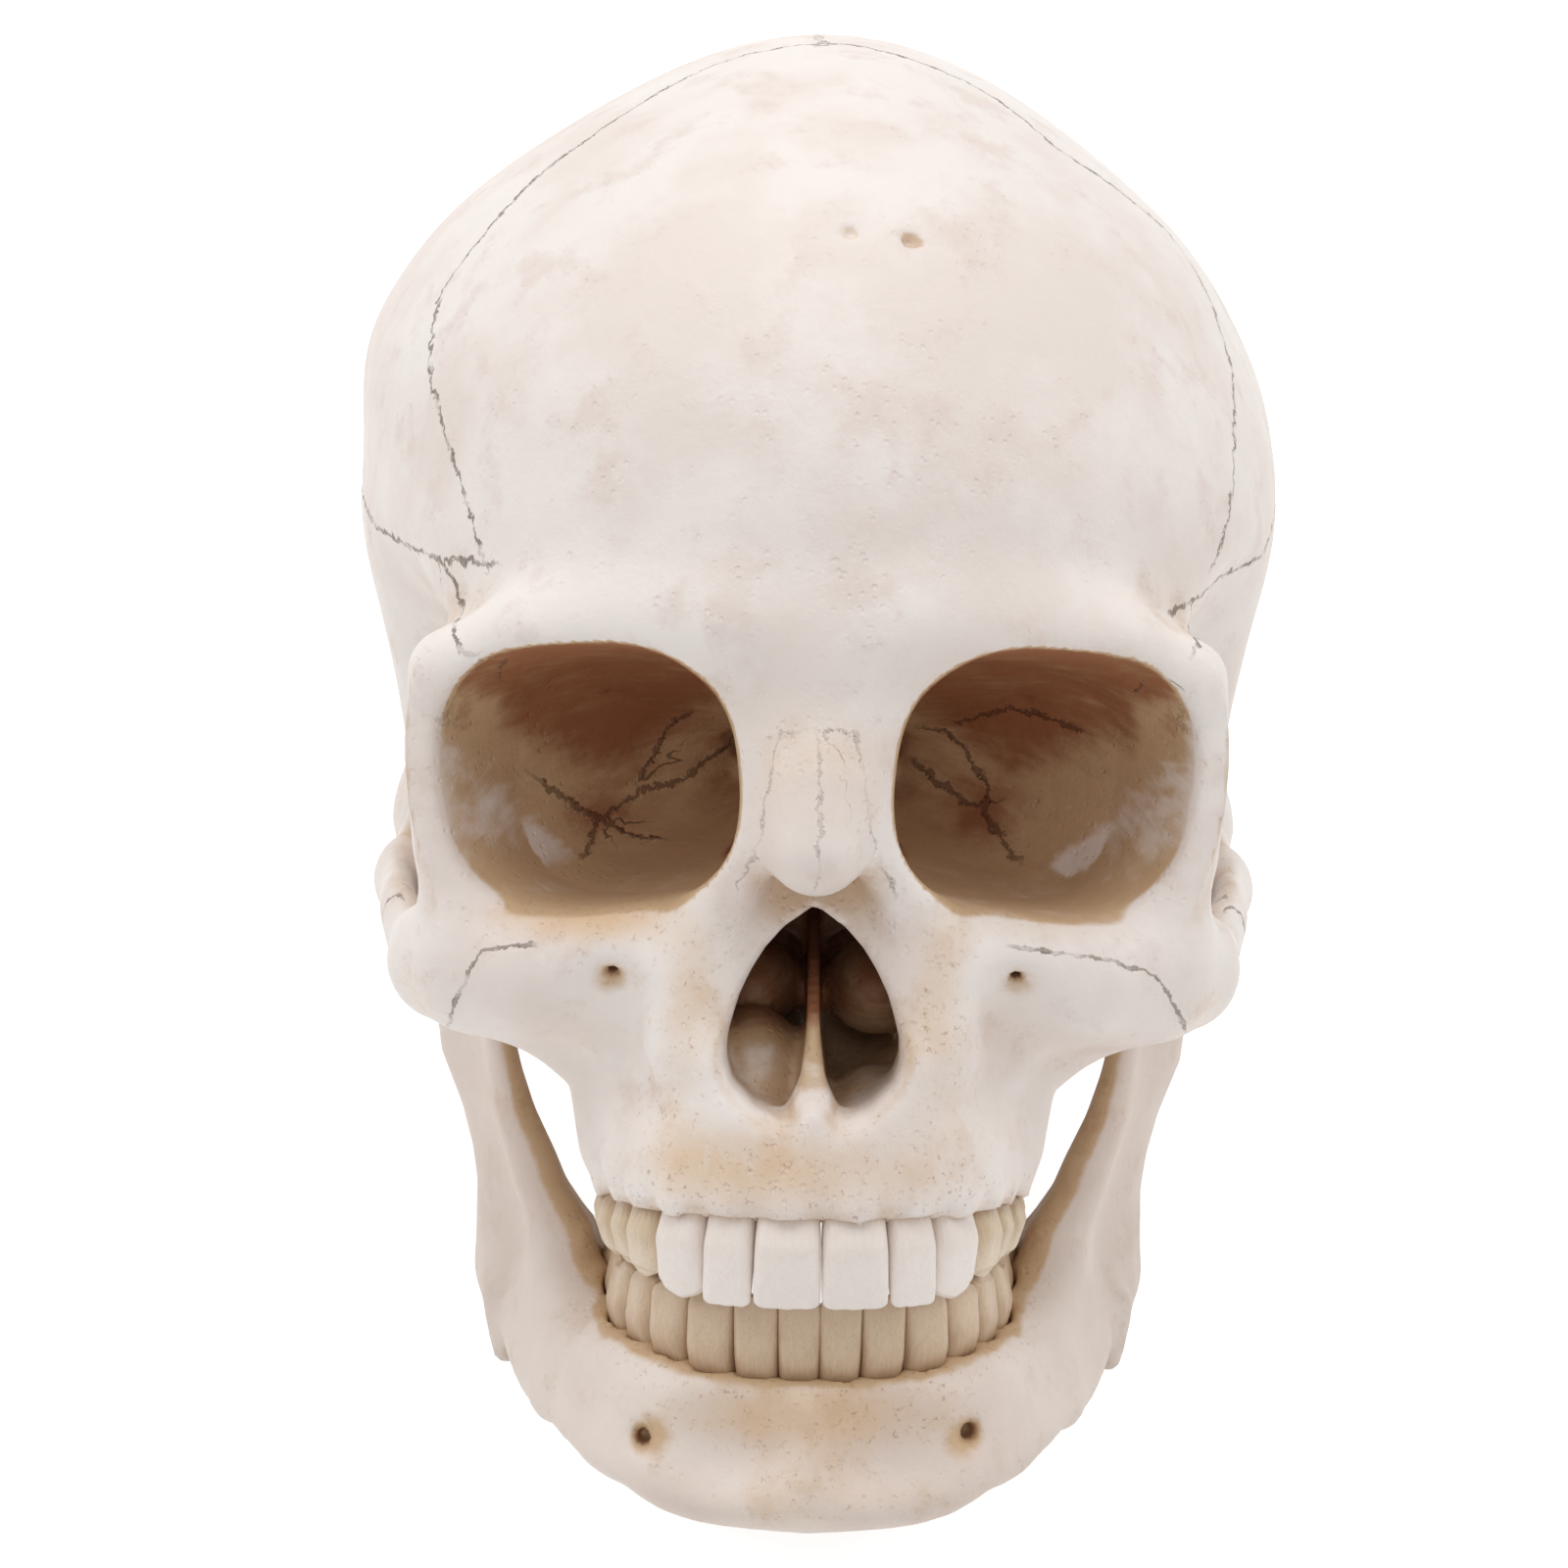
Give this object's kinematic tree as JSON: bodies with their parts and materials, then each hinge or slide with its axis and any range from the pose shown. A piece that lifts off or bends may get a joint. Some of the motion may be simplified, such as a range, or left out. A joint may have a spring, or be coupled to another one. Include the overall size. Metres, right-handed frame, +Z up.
{
  "type": "anatomical skull model",
  "caption": "Life-size human skull model with a hollow braincase, set teeth and a sprung, hinged lower jaw.",
  "frame": {"origin": "centre of the bounding box at the surface that the model rests on", "axes": "+Z up, face towards -Y and tilted back, +X to the left side of the skull"},
  "size_m": [0.138, 0.231, 0.1704],
  "materials": {
    "bone": "matte cast bone with brown staining in the hollows",
    "front_enamel": "satin off-white tooth",
    "side_enamel": "satin tan tooth, browner at the gum",
    "steel": "bright spring steel"
  },
  "bodies": {
    "head": {"cranium": "bone", "upper_left_central_incisor": "front_enamel", "upper_left_lateral_incisor": "front_enamel", "upper_left_canine": "front_enamel", "upper_left_first_premolar": "side_enamel", "upper_left_second_premolar": "side_enamel", "upper_left_first_molar": "side_enamel", "upper_left_second_molar": "side_enamel", "upper_left_third_molar": "side_enamel", "upper_right_central_incisor": "front_enamel", "upper_right_lateral_incisor": "front_enamel", "upper_right_canine": "front_enamel", "upper_right_first_premolar": "side_enamel", "upper_right_second_premolar": "side_enamel", "upper_right_first_molar": "side_enamel", "upper_right_second_molar": "side_enamel", "upper_right_third_molar": "side_enamel", "spring_post_cranium_left": "steel", "spring_post_cranium_right": "steel", "jaw_spring_left": "steel", "jaw_spring_right": "steel"},
    "jaw": {"mandible": "bone", "lower_left_central_incisor": "side_enamel", "lower_left_lateral_incisor": "side_enamel", "lower_left_canine": "side_enamel", "lower_left_first_premolar": "side_enamel", "lower_left_second_premolar": "side_enamel", "lower_left_first_molar": "side_enamel", "lower_left_second_molar": "side_enamel", "lower_left_third_molar": "side_enamel", "lower_right_central_incisor": "side_enamel", "lower_right_lateral_incisor": "side_enamel", "lower_right_canine": "side_enamel", "lower_right_first_premolar": "side_enamel", "lower_right_second_premolar": "side_enamel", "lower_right_first_molar": "side_enamel", "lower_right_second_molar": "side_enamel", "lower_right_third_molar": "side_enamel", "spring_post_jaw_left": "steel", "spring_post_jaw_right": "steel"}
  },
  "joints": [
    {"name": "jaw_hinge", "type": "hinge", "parent": "head", "child": "jaw", "pos_m": [0.00038, -0.00343, 0.05431], "axis": [1, 0, 0], "range_deg": [0, 25], "stiffness_Nm_per_rad": 0.35, "springref_deg": -20.05, "deforming": ["jaw_spring_left", "jaw_spring_right"]}
  ]
}
